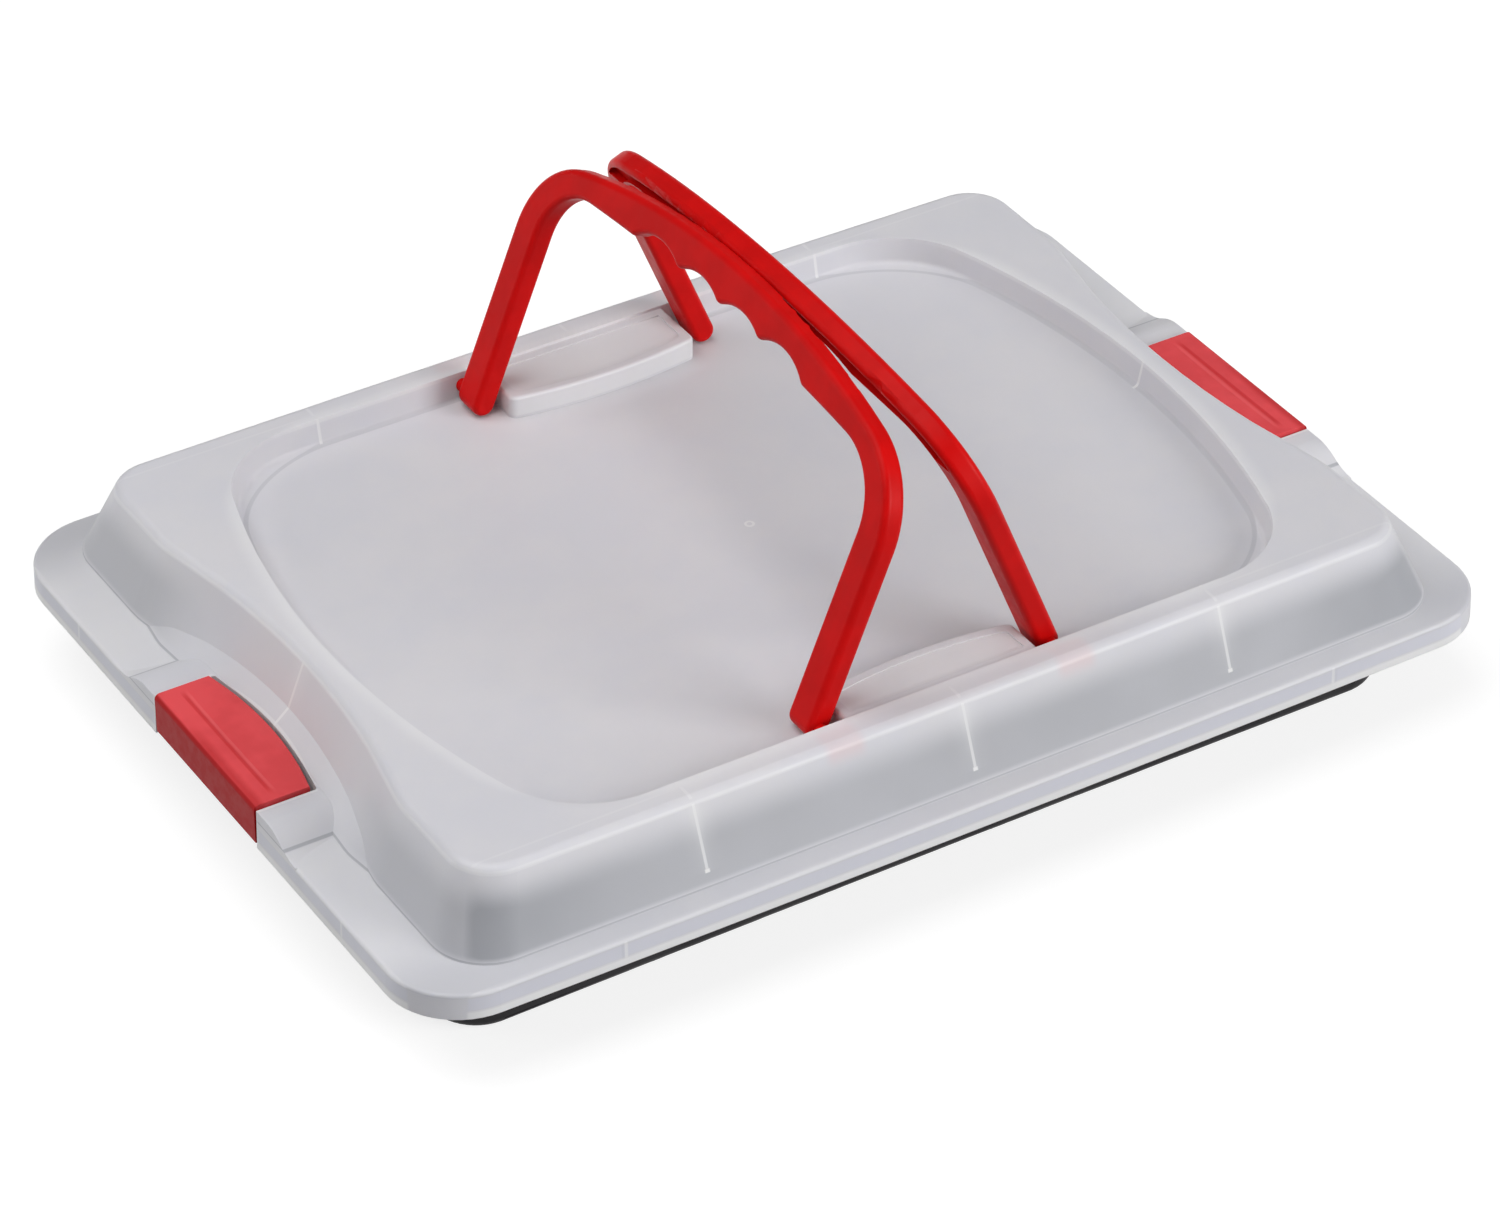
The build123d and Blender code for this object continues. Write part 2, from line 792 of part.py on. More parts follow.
def finger_dish():
    """The space of the shallow finger dish in the clip's top, deepest at its middle."""
    return loft([dish_section(share / 2).face() for share in (-2, -1, 0, 1, 2)])


def make_clip(side):
    """One end clip: the cap, the catch along its leg and the two pins it turns on. It is
    modelled at the +X end and turned about Z for the other."""
    leg_x = lid_length / 2 - clip_leg
    catch_x = rim_half_length + catch_gap
    catch_profile = make_face(
        Polyline(
            (leg_x + clip_leg / 2, clip_foot),
            (leg_x, clip_foot),
            (catch_x, clip_foot + catch_height / 2),
            (catch_x, clip_foot + catch_height),
            (leg_x + clip_leg / 2, clip_foot + catch_height),
            close=True,
        )
    )
    catch = extrude(Plane.XZ * catch_profile, catch_length / 2, both=True)
    near = clip_length / 2 - clip_plate / 2
    far = pocket_half + lid_wall + hinge_boss_length - hinge_gap
    pins = both_sides(rod_along_y(hinge_x, hinge_level, hinge_pin_radius, near, far))
    clip = clip_cap() - finger_dish() + catch + pins
    turn = 0 if side > 0 else 180
    return Rot(0, 0, turn) * clip


def make_all():
    """Every piece by name."""
    return {
        "pan": make_pan(),
        "lid": make_lid(),
        "handle_left": make_handle(-1),
        "handle_right": make_handle(1),
        "clip_left": make_clip(-1),
        "clip_right": make_clip(1),
    }


os.makedirs("parts", exist_ok=True)
for name, piece in make_all().items():
    export_step(piece, f"parts/{name}.step")
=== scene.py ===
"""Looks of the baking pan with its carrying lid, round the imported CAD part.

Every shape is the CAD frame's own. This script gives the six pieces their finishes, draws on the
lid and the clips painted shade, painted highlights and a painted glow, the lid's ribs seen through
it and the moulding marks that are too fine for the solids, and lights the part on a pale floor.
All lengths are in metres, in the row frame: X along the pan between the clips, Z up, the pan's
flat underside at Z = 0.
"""

import math

import bpy
from mathutils import Matrix, Vector

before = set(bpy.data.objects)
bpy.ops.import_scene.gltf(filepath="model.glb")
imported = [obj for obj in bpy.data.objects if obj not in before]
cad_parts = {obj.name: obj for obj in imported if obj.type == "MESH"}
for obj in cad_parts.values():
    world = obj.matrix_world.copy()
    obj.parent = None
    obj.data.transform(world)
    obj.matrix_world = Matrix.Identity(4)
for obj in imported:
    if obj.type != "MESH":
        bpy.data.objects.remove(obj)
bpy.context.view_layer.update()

# Camera, as measured from the pan and lid's own outlines
AIM = (-0.004906, -0.008218, 0.0318)
DISTANCE = 1.954365
TURN, RISE, TILT = -31.5374, 35.9569, -0.0841     # degrees
LENS, SENSOR = 136.62, 36.0                       # millimetres
NEAREST, FARTHEST = 0.05, 50.0                    # the camera shows what lies between these

# Lamps: name, place, where it faces, width, height, watts
LAMPS = (
    ("top", (-0.7, 0.1, 1.9), (0.0, 0.0, 0.04), 1.8, 1.8, 28.0),
    ("left", (-3.6, 2.4, 1.3), (0.0, 0.0, 0.05), 2.4, 2.0, 36.0),
    ("right", (2.2, -3.6, 1.7), (0.0, 0.0, 0.05), 2.8, 2.4, 150.0),
)
ROOM_LIGHT = 0.16
FLOOR_HALF, FLOOR_DROP, FLOOR_GLOW = 6.0, 0.0005, 0.78
FLOOR_GREYS = ((0.33, 0.33, 0.33), (0.35, 0.35, 0.35))

# Colours, linear
WHITE = (1.0, 1.0, 1.0, 1.0)
MILKY_COOL = (0.735, 0.735, 0.780)
MILKY_WARM = (0.765, 0.758, 0.788)
# The next is the grey of the lid's painted shade: on its walls, in its creases and on its flange.
MILKY_SHADE = (0.430, 0.440, 0.474)
# The next is the white of the lid's painted highlights and glows, of its pale rib lines and of the
# gate's ring.
MILKY_PALE = (0.97, 0.97, 0.975)
# The next is the bluish painted shade on the lid's skirt, below the flange's edge.
MILKY_BLUE_SHADE = (0.75, 0.755, 0.825)
# The next is the pale red of the painted glow of each handle's red pin through the lid's wall.
PIN_GLOW = (0.90, 0.50, 0.50)
HANDLE_RED = (0.62, 0.0035, 0.0035)
HANDLE_DEEP = (0.54, 0.003, 0.003)
# The clips' two reds are pinker than the handles' by a painted sheen.
CLIP_RED = (0.75, 0.082, 0.092)
CLIP_DEEP = (0.67, 0.068, 0.076)
# The next three are the clips' painted shade on the outer face, painted shade in the crease and
# painted highlight beside it.
CLIP_FRONT_SHADE = (0.40, 0.012, 0.014)
CLIP_CREASE_SHADE = (0.50, 0.012, 0.014)
CLIP_HIGHLIGHT = (0.86, 0.16, 0.17)
PAN_BLACK = (0.008, 0.007, 0.009)
PAN_SPECK = (0.020, 0.018, 0.021)

# The middle stretch of a noise's values, over which two tones or two roughnesses blend
NARROW, WIDE = (0.35, 0.65), (0.3, 0.7)

# Skins. A scale is how many clouds or cells there are to the metre, a depth is that of the grain,
# and a bleed is how far red, green and blue light run under the surface.
PLASTIC_IOR, COATING_IOR = 1.49, 1.5
MILKY_ROUGH, MILKY_BLEED = (0.40, 0.50), (0.0008, 0.0008, 0.0009)
GRAIN_CELLS, GRAIN_NOISE, GRAIN_NOISE_PART = 2800.0, 5200.0, 0.5
GRAIN_DEPTH, GRAIN_STRENGTH = 8e-6, 0.55
RED_CLOUDS, RED_SCUFFS, RED_CELLS = 48.0, 220.0, 2000.0
RED_DEPTH, RED_STRENGTH, RED_BLEED = 5e-6, 0.5, (0.004, 0.0008, 0.0006)
HANDLE_GLOSS, HANDLE_ROUGH = 0.09, 0.34
CLIP_GLOSS, CLIP_ROUGH = 0.08, 0.42
SCUFF = 0.10                                      # what scuffs add to the roughness
STEEL_PATCHES, STEEL_ROUGH = 30.0, (0.42, 0.52)
FLECK_CELLS, FLECK_EDGE, FLECK_SHARES = 1500.0, (0.10, 0.26), (0.25, 0.7)
FLECK_HEIGHT, FLECK_STRENGTH = 6e-6, 0.6
WAVE_HEIGHT, WAVE_STRENGTH = 4e-4, 0.15

# The lid, from the part's own sizes. Places along X and Y are distances from the middle.
WALL_FOOT, RIM, BASIN = 0.04245, 0.07075, 0.06125    # levels
LONG_WALL, END_WALL = 0.1417, 0.1924                 # the walls' feet
LONG_LEAN, END_LEAN = 0.410, 0.3993                  # how far in a wall leans for each metre up
BASIN_SIDE, BASIN_END = 0.121, 0.163
BASIN_END_RADIUS, BASIN_CORNER = 0.320, 0.038
RIB_PLACE = 0.102                                    # of the outer ribs; one more is at 0
TICK_SIDE, TICK_END = 0.138, 0.094                   # the ticks on the skirt's sides and ends
CUT_SIDE = 0.0366                                    # half the width of a clip's cut-out
CUT_ARC, CUT_BEND = 0.1834, 3.33                     # its inner edge: CUT_ARC + CUT_BEND y squared
PIN_PLACE, GATE_RADIUS = 0.0448, 0.0014

# Where the lid's regions begin, and where they are full
LONG_WALL_FADE = (LONG_WALL - 0.0120, LONG_WALL - 0.0035)
END_WALL_FADE = (END_WALL - 0.0170, END_WALL - 0.0160)
SKIRT_SIDE_FADE, SKIRT_END_FADE = (0.1472, 0.1478), (0.2074, 0.2080)
CORNER_FADE, CORNER_LEAN = (0.3120, 0.3200), 0.75

# The lid's clouds, the painted shade on its thin walls, ends and corners, and the bluish painted
# shade on its skirt
CLOUD_SCALE, FLOW_SCALE, CLOUD_PART, FLOW_PART = 16.0, 85.0, 0.7, 0.3
THIN_TOP_FADE, THIN_FOOT_FADE, WALL_SHADE_SHARES = (0.0680, 0.0560), (0.0424, 0.0450), (0.66, 0.80)
THIN_END_FADE, THIN_END = (0.050, 0.090), 0.50
END_SHADE_FADE, END_SHADE_SHARE, CORNER_SHADE_SHARE = (0.110, 0.185), 0.32, 0.10
SKIRT_BLUE_SHADE, SKIRT_BLUE_SHADE_SOFT = (0.0352, 0.0398), 0.0005

# The lid's painted shade: places, half widths, and how far each goes to the shade grey
CREASE_LEVEL, CREASE_HALF = 0.04290, 0.00018
TICK_SHADE_STEP = 0.0011                             # from the tick to the shade beside it
BASIN_FOOT, BASIN_FOOT_HALF, BASIN_FOOT_FADE = -0.0026, 0.0006, (0.0632, 0.0620)
FLANGE_SIDE, FLANGE_SIDE_FADE = (0.0400, 0.0426), (0.110, 0.142)
SHADE_SHARES = {"crease": 0.75, "tick_shade": 0.12, "basin_foot": 0.35, "flange_side": 0.30}

# The lid's painted highlights and pale rib lines: stretches, half widths, and how far each goes
# to MILKY_PALE
RIB_HALF, RIB_ON_WALL, RIB_ON_TOP = 0.00038, (0.0475, 0.0690), (0.1238, 0.1305)
RIB_IN_BASIN, RIB_BASIN_RISE = (0.1170, 0.1216), (BASIN + 0.0006, RIM + 0.001)
RIB_FOOT_LEVEL, RIB_FOOT_TALL, RIB_FOOT_HALF = 0.0478, 0.0004, 0.0006
RIB_GLOW_WIDE, RIB_GLOW_CLOSE, RIB_GLOW_STEP = (0.0, 0.008), (0.0, 0.003), 0.5
RIB_GLOW_RISE, RIB_GLOW_SHARES = (0.0475, 0.0660), (0.08, 0.34)
END_RIB_HIGH, END_RIB_LOW, END_RIB_RISE = (0.1590, 0.1632), (0.1718, 0.1853), (0.0430, 0.0440)
END_GLOW, END_GLOW_SOFT, END_GLOW_RISE = (0.1715, 0.1853), 0.001, (0.0440, 0.0690)
SHOULDER_LEVEL, SHOULDER_HALF, SHOULDER_RISE = 0.0688, 0.00045, (0.0680, 0.0690)
LINE_HALF, RIM_LINE_SIDE, RIM_LINE_RISE = 0.0003, 0.1240, (0.0695, 0.0700)
LOW_SKIRT, FLANGE_EDGE, HEM_LEVEL = (0.0349, 0.0341), (0.0401, 0.0414), 0.0345
TICK_HALF, TICK_RUN = 0.0004, (0.0335, 0.0409)
CUT_HALF, CUT_FADE = 0.0005, (0.1870, 0.1880)
SEAT_ENDS, SEAT_DEPTH = (0.0410, 0.0400), (0.0920, 0.1215)
SEAT_RISE, SEAT_TOP = (0.0620, 0.0626), (0.0698, 0.0692)
LIP_RISE, LIP_OUT, LIP_IN = (0.0690, 0.0698), (0.0065, 0.0), (-0.0015, -0.0005)
FLANGE_TOP, FLANGE_TOP_FADE = (0.0408, 0.0426), (0.142, 0.110)
HIGHLIGHT_AND_RIB_SHARES = {
    "rib_on_wall": 0.66, "rib_on_top": 0.28, "rib_in_basin": 0.60, "rib_foot": 0.90,
    "end_rib": 0.75, "end_glow": 0.22, "shoulder": 0.28, "rim_line": 0.15, "low_skirt": 0.75,
    "flange_edge": 0.30, "hem": 0.35, "tick": 0.55, "cut": 0.50, "cut_arc": 0.50,
    "seat": 0.12, "seat_edge": 0.35, "basin_lip": 0.38, "flange_top": 0.25,
}

# The painted pink glow of the pins through the walls, and the gate's ring
GLOW_HALF, GLOW_SIDE, GLOW_SIDE_SOFT = 0.0045, (0.1235, 0.1345), 0.002
GLOW_RISE, GLOW_RISE_SOFT, GLOW_SHARE = (0.0655, 0.0710), 0.003, 0.24
GATE_FADE, GATE_SHARE = (0.0600, 0.0605), 0.6

# A clip's painted shade on its outer face, on the edge above it and in its crease, and the painted
# highlight beside the crease, as distances from the middle. Only FRONT_NEAR_FADE is along Y itself.
FRONT_FADE = (0.2085, 0.2095)
FRONT_EDGE_FADE, FRONT_NEAR_FADE, FRONT_EDGE_SHARE = (0.2050, 0.2082), (0.020, -0.005), 0.5
CREASE_PLACE, CREASE_WIDE, CREASE_SHARE = 0.2014, 0.0006, 0.5
SHINE_PLACE, SHINE_WIDE, SHINE_SHARE = 0.2002, 0.0005, 0.3
CREASE_ENDS = (0.0335, 0.0270)


# ------------------------------------------------------------------ shader building

class Finish:
    """A material's node tree, with short calls for the nodes that the finishes share."""

    def __init__(self, name):
        self.material = bpy.data.materials.new(name)
        self.material.use_nodes = True
        self.tree = self.material.node_tree
        self.shader = next(n for n in self.tree.nodes if n.type == "BSDF_PRINCIPLED")
        self.place = self.tree.nodes.new("ShaderNodeTexCoord").outputs["Object"]

    def node(self, kind, inputs=(), **settings):
        made = self.tree.nodes.new(kind)
        for key, value in settings.items():
            setattr(made, key, value)
        for key, value in dict(inputs).items():
            self.put(made.inputs[key], value)
        return made

    def put(self, socket, value):
        """Links an output to a socket, or sets a constant on it."""
        if isinstance(value, bpy.types.NodeSocket):
            self.tree.links.new(value, socket)
        else:
            socket.default_value = value

    def set(self, **values):
        for key, value in values.items():
            self.put(self.shader.inputs[key.replace("_", " ")], value)

    def noise(self, scale, detail=2.0, roughness=0.5):
        made = self.node("ShaderNodeTexNoise", {"Scale": scale, "Detail": detail,
                                                "Roughness": roughness, "Vector": self.place})
        return made.outputs["Fac"]

    def cells(self, scale):
        """The distance to the nearest of scattered points, scale of them to the metre."""
        made = self.node("ShaderNodeTexVoronoi", {"Scale": scale, "Vector": self.place})
        return made.outputs["Distance"]

    def axis(self, name):
        """One of the X, Y and Z of the place, in metres."""
        return self.node("ShaderNodeSeparateXYZ", {"Vector": self.place}).outputs[name]

    def math(self, operation, a, b=0.0):
        return self.node("ShaderNodeMath", {0: a, 1: b}, operation=operation).outputs[0]

    def plus(self, a, b):
        return self.math("ADD", a, b)

    def minus(self, a, b):
        return self.math("SUBTRACT", a, b)

    def size(self, a):
        """The value without its sign."""
        return self.math("ABSOLUTE", a)

    def length(self, a, b):
        """The root of the sum of both values' squares."""
        return self.math("SQRT", self.plus(self.both(a, a), self.both(b, b)))

    def both(self, *shares):
        """The product of the shares."""
        made = shares[0]
        for share in shares[1:]:
            made = self.math("MULTIPLY", made, share)
        return made

    def most(self, *shares):
        """The largest of the shares."""
        made = shares[0]
        for share in shares[1:]:
            made = self.math("MAXIMUM", made, share)
        return made

    def ramp(self, value, start, end, low=0.0, high=1.0):
        """Value start becomes low and value end becomes high, smoothly between them and flat
        outside."""
        made = self.node("ShaderNodeMapRange", {"Value": value, "From Min": start, "From Max": end,
                                                "To Min": low, "To Max": high})
        made.interpolation_type = "SMOOTHSTEP"
        return made.outputs["Result"]

    def near(self, value, middle, half):
        """1 where value is within half of middle, falling smoothly to 0 at twice that distance."""
        return self.ramp(self.size(self.minus(value, middle)), half, 2 * half, 1.0, 0.0)

    def band(self, value, low, high, soft=0.0002):
        """1 between low and high, falling smoothly to 0 within soft on each side of both."""
        return self.both(self.ramp(value, low - soft, low + soft),
                         self.ramp(value, high - soft, high + soft, 1.0, 0.0))

    def strongest(self, marks, strengths):
        """The largest of the named marks, each times its strength."""
        return self.most(*(self.both(mark, strengths[name]) for name, mark in marks.items()))

    def blend(self, share, a, b):
        made = self.node("ShaderNodeMix", data_type="RGBA")
        self.put(made.inputs["Factor"], share)
        for socket, value in ((made.inputs[6], a), (made.inputs[7], b)):
            self.put(socket, (*value, 1.0) if isinstance(value, tuple) else value)
        return made.outputs[2]

    def bump(self, height, distance, strength, under=None):
        made = self.node("ShaderNodeBump",
                         {"Height": height, "Distance": distance, "Strength": strength})
        if under is not None:
            self.put(made.inputs["Normal"], under)
        return made.outputs["Normal"]


# ------------------------------------------------------------------ the lid's finish

class LidPlace:
    """Where a point of the lid lies: distances in metres, and shares that are 1 in a region.

    ax and ay are the distances from the middle along X and Y. A wall's share comes from such a
    distance carried down the wall's lean to the level of its foot. from_basin is the distance
    outwards from the basin's edge: the edge is an arc at the ends and straight at the sides, and
    past a corner's centre the two distances are taken together, as the root of their squares' sum.
    """

    def __init__(self, f):
        self.x, self.y, self.z = f.axis("X"), f.axis("Y"), f.axis("Z")
        self.ax, self.ay = f.size(self.x), f.size(self.y)

        above_foot = f.minus(self.z, WALL_FOOT)
        long_reach = f.plus(self.ay, f.both(above_foot, LONG_LEAN))
        end_reach = f.plus(self.ax, f.both(above_foot, END_LEAN))
        corner_reach = f.plus(f.plus(self.ax, self.ay), f.both(above_foot, CORNER_LEAN))
        self.long_wall = f.ramp(long_reach, *LONG_WALL_FADE)
        self.end_wall = f.ramp(end_reach, *END_WALL_FADE)
        self.corner = f.ramp(corner_reach, *CORNER_FADE)
        self.wall = f.most(self.long_wall, self.end_wall)
        self.skirt = f.most(f.ramp(self.ay, *SKIRT_SIDE_FADE), f.ramp(self.ax, *SKIRT_END_FADE))

        from_arc_centre = f.length(f.plus(self.ax, BASIN_END_RADIUS - BASIN_END), self.y)
        past_end = f.most(f.minus(from_arc_centre, BASIN_END_RADIUS - BASIN_CORNER), 0.0)
        past_side = f.most(f.minus(self.ay, BASIN_SIDE - BASIN_CORNER), 0.0)
        self.from_basin = f.minus(f.length(past_end, past_side), BASIN_CORNER)


def milky_ground(f, at):
    """The lid's colour under its painted shade and highlights, and the flow noise that the
    roughness follows too.

    The colour drifts by a few percent between two cool whites, in clouds 60 mm across and in flow
    marks 12 mm across, seven parts to three. On the thin upright walls a painted shade takes it two
    thirds to four fifths of the way to a shade grey, by the clouds. That shade is full from 3 mm
    over the walls' feet to 15 mm below the rim and gone 3 mm below it. It is half as strong on the
    end walls and none in their dents, and a little stronger near the ends and in the plan's
    corners.
    The skirt has a bluish painted shade, but for its two edges.
    """
    clouds, flow = f.noise(CLOUD_SCALE), f.noise(FLOW_SCALE, 3.0, 0.6)
    drift = f.plus(f.both(clouds, CLOUD_PART), f.both(flow, FLOW_PART))
    colour = f.blend(f.ramp(drift, *NARROW), MILKY_COOL, MILKY_WARM)
    # Painted shade on the thin upright walls, stronger near the ends and in the plan's corners.
    thin = f.most(at.long_wall, f.both(at.end_wall, f.ramp(at.ay, *THIN_END_FADE), THIN_END))
    thin = f.both(thin, f.ramp(at.z, *THIN_TOP_FADE), f.ramp(at.z, *THIN_FOOT_FADE))
    end_and_corner_shade = f.plus(f.both(at.corner, CORNER_SHADE_SHARE), f.ramp(at.ax, *END_SHADE_FADE, 0.0, END_SHADE_SHARE))
    deep = f.both(thin, f.plus(f.ramp(clouds, *NARROW, *WALL_SHADE_SHARES), end_and_corner_shade))
    colour = f.blend(deep, colour, MILKY_SHADE)
    # A bluish painted shade on the skirt.
    blue_shade = f.both(at.skirt, f.band(at.z, *SKIRT_BLUE_SHADE, SKIRT_BLUE_SHADE_SOFT))
    return f.blend(blue_shade, colour, MILKY_BLUE_SHADE), flow


def painted_shade(f, at):
    """The lid's painted shade, as a share: in the crease along the walls' feet, beside each tick of
    the skirt, along the foot of the basin's wall, and on the flange's long sides."""
    return f.strongest({
        "crease": f.both(at.wall, f.near(at.z, CREASE_LEVEL, CREASE_HALF)),
        "tick_shade": f.both(at.skirt, f.near(at.ax, TICK_SIDE + TICK_SHADE_STEP, TICK_HALF)),
        "basin_foot": f.both(f.near(at.from_basin, BASIN_FOOT, BASIN_FOOT_HALF),
                             f.ramp(at.z, *BASIN_FOOT_FADE)),
        "flange_side": f.both(f.band(at.z, *FLANGE_SIDE), f.ramp(at.ay, *FLANGE_SIDE_FADE)),
    }, SHADE_SHARES)


def painted_highlights_and_ribs(f, at):
    """The lid's pale rib lines, where the plastic is thick, and its painted highlights, where an
    edge catches the light, as a share.

    Each line is the point's distance from a plane, a level or the cut-out's arc, turned into 1 on
    the line and 0 a fraction of a millimetre off it, within its own stretch. The ribs behind the
    walls and the rim band show as such pale lines, where they thicken the plastic, each with a dot
    at its foot and a painted glow beside it that fades over 8 mm and grows with height. The others
    are
    painted highlights and painted light: on the shoulder, the rim's line, the skirt's hem, lower
    part and upper edge, its ticks, the clips' cut-outs, the seats and their edges, the basin's lip
    and the flange's ends.
    """
    on_outer_rib = f.near(at.ax, RIB_PLACE, RIB_HALF)
    on_rib = f.most(on_outer_rib, f.near(at.ax, 0.0, RIB_HALF))
    on_dot = f.most(f.near(at.ax, RIB_PLACE, RIB_FOOT_HALF), f.near(at.ax, 0.0, RIB_FOOT_HALF))
    off_rib = f.math("MINIMUM", f.size(f.minus(at.ax, RIB_PLACE)), at.ax)
    rib_run = f.both(at.long_wall, f.band(at.z, *RIB_ON_WALL))
    rib_glow = f.both(f.ramp(off_rib, *RIB_GLOW_WIDE, 1.0, 0.0),
                      f.ramp(off_rib, *RIB_GLOW_CLOSE, 1.0, RIB_GLOW_STEP), rib_run,
                      f.ramp(at.z, *RIB_GLOW_RISE, *RIB_GLOW_SHARES))
    end_rib_run = f.most(f.band(at.ax, *END_RIB_HIGH), f.band(at.ax, *END_RIB_LOW))
    cut_arc = f.minus(at.ax, f.both(f.both(at.y, at.y), CUT_BEND))
    on_tick = f.most(f.near(at.ax, TICK_SIDE, TICK_HALF), f.near(at.ay, TICK_END, TICK_HALF))
    seat = f.both(f.ramp(at.ax, *SEAT_ENDS), f.band(at.ay, *SEAT_DEPTH), f.ramp(at.z, *SEAT_RISE))
    marks = f.strongest({
        "rib_on_wall": f.both(on_rib, rib_run),
        "rib_on_top": f.both(on_rib, f.band(at.ay, *RIB_ON_TOP), f.ramp(at.z, *SHOULDER_RISE)),
        "rib_in_basin": f.both(on_outer_rib, f.band(at.ay, *RIB_IN_BASIN),
                               f.band(at.z, *RIB_BASIN_RISE)),
        "rib_foot": f.both(at.long_wall, f.near(at.z, RIB_FOOT_LEVEL, RIB_FOOT_TALL), on_dot),
        "end_rib": f.both(f.near(at.ay, 0.0, RIB_HALF), f.ramp(at.z, *END_RIB_RISE), end_rib_run),
        "end_glow": f.both(f.ramp(at.ay, *RIB_GLOW_WIDE, 1.0, 0.0),
                           f.band(at.ax, *END_GLOW, END_GLOW_SOFT), f.ramp(at.z, *END_GLOW_RISE)),
        "shoulder": f.both(at.wall, f.near(at.z, SHOULDER_LEVEL, SHOULDER_HALF)),
        "rim_line": f.both(f.near(at.ay, RIM_LINE_SIDE, LINE_HALF), f.ramp(at.z, *RIM_LINE_RISE)),
        "low_skirt": f.both(at.skirt, f.ramp(at.z, *LOW_SKIRT)),
        "flange_edge": f.both(at.skirt, f.band(at.z, *FLANGE_EDGE)),
        "hem": f.both(at.skirt, f.near(at.z, HEM_LEVEL, LINE_HALF)),
        "tick": f.both(at.skirt, f.band(at.z, *TICK_RUN), on_tick),
        "cut": f.both(f.near(at.ay, CUT_SIDE, CUT_HALF), f.ramp(at.ax, *CUT_FADE)),
        "cut_arc": f.both(f.near(cut_arc, CUT_ARC, LINE_HALF),
                          f.ramp(at.ay, CUT_SIDE + CUT_HALF, CUT_SIDE)),
        "seat": seat,
        "seat_edge": f.both(seat, f.ramp(at.z, *SEAT_TOP)),
        "basin_lip": f.both(f.ramp(at.z, *LIP_RISE), f.ramp(at.from_basin, *LIP_OUT),
                            f.ramp(at.from_basin, *LIP_IN)),
        "flange_top": f.both(at.wall, f.band(at.z, *FLANGE_TOP), f.ramp(at.ay, *FLANGE_TOP_FADE)),
    }, HIGHLIGHT_AND_RIB_SHARES)
    return f.most(rib_glow, marks)


def milky_plastic():
    """Milky polypropylene, finely matte, on the lid.

    Its colour is milky_ground, then its painted shade towards the shade grey, then its painted
    highlights and pale rib lines towards white. A patch 9 mm wide on the wall outside each handle's
    pin is a quarter of the way to a pale red: a painted glow of the red pin through the wall. A
    pale ring of 1.4 mm radius is the gate's mark in the middle of the basin. Light goes into the
    skin and comes out a millimetre on, and a fifth of it goes through. The roughness follows the
    flow marks from 0.40 to 0.50. The grain is a spark-eroded texture, 8 micrometres deep: cells
    0.35 mm across and half as much of a finer noise.
    """
    f = Finish("milky_polypropylene")
    at = LidPlace(f)
    colour, flow = milky_ground(f, at)
    # Painted shade, towards the shade grey.
    colour = f.blend(painted_shade(f, at), colour, MILKY_SHADE)
    # Painted highlights and glows, and the pale rib lines, towards white.
    colour = f.blend(painted_highlights_and_ribs(f, at), colour, MILKY_PALE)
    # A painted pink glow of each red pin through the wall.
    glow = f.both(f.near(at.ax, PIN_PLACE, GLOW_HALF), f.band(at.ay, *GLOW_SIDE, GLOW_SIDE_SOFT),
                  f.band(at.z, *GLOW_RISE, GLOW_RISE_SOFT))
    colour = f.blend(f.both(glow, GLOW_SHARE), colour, PIN_GLOW)
    gate = f.both(f.near(f.length(at.x, at.y), GATE_RADIUS, LINE_HALF), f.ramp(at.z, *GATE_FADE))
    colour = f.blend(f.both(gate, GATE_SHARE), colour, MILKY_PALE)

    grain = f.plus(f.cells(GRAIN_CELLS), f.both(f.noise(GRAIN_NOISE, 1.0), GRAIN_NOISE_PART))
    f.set(Base_Color=colour, Roughness=f.ramp(flow, *WIDE, *MILKY_ROUGH))
    f.set(IOR=PLASTIC_IOR, Specular_IOR_Level=0.40, Transmission_Weight=0.20)
    f.set(Subsurface_Weight=0.4, Subsurface_Radius=MILKY_BLEED, Subsurface_Scale=1.0)
    f.set(Sheen_Weight=0.28, Sheen_Roughness=0.35)
    f.set(Normal=f.bump(grain, GRAIN_DEPTH, GRAIN_STRENGTH))
    return f.material


# ------------------------------------------------------------------ the other finishes

def clip_painted_light(f, colour):
    """A clip's painted light over its red: a painted shade on the outer face from 209 mm off the
    middle outwards, half as much of it on the -Y part of the edge above it, and along the finger
    dish a painted shade in the crease at 201.4 mm with a painted highlight beside it, both fading
    out towards the dish's ends."""
    ax, y = f.size(f.axis("X")), f.axis("Y")
    edge = f.both(f.ramp(ax, *FRONT_EDGE_FADE), f.ramp(y, *FRONT_NEAR_FADE), FRONT_EDGE_SHARE)
    colour = f.blend(f.most(f.ramp(ax, *FRONT_FADE), edge), colour, CLIP_FRONT_SHADE)
    run = f.ramp(f.size(y), *CREASE_ENDS)
    crease = f.both(f.near(ax, CREASE_PLACE, CREASE_WIDE), run, CREASE_SHARE)
    shine = f.both(f.near(ax, SHINE_PLACE, SHINE_WIDE), run, SHINE_SHARE)
    return f.blend(shine, f.blend(crease, colour, CLIP_CREASE_SHADE), CLIP_HIGHLIGHT)


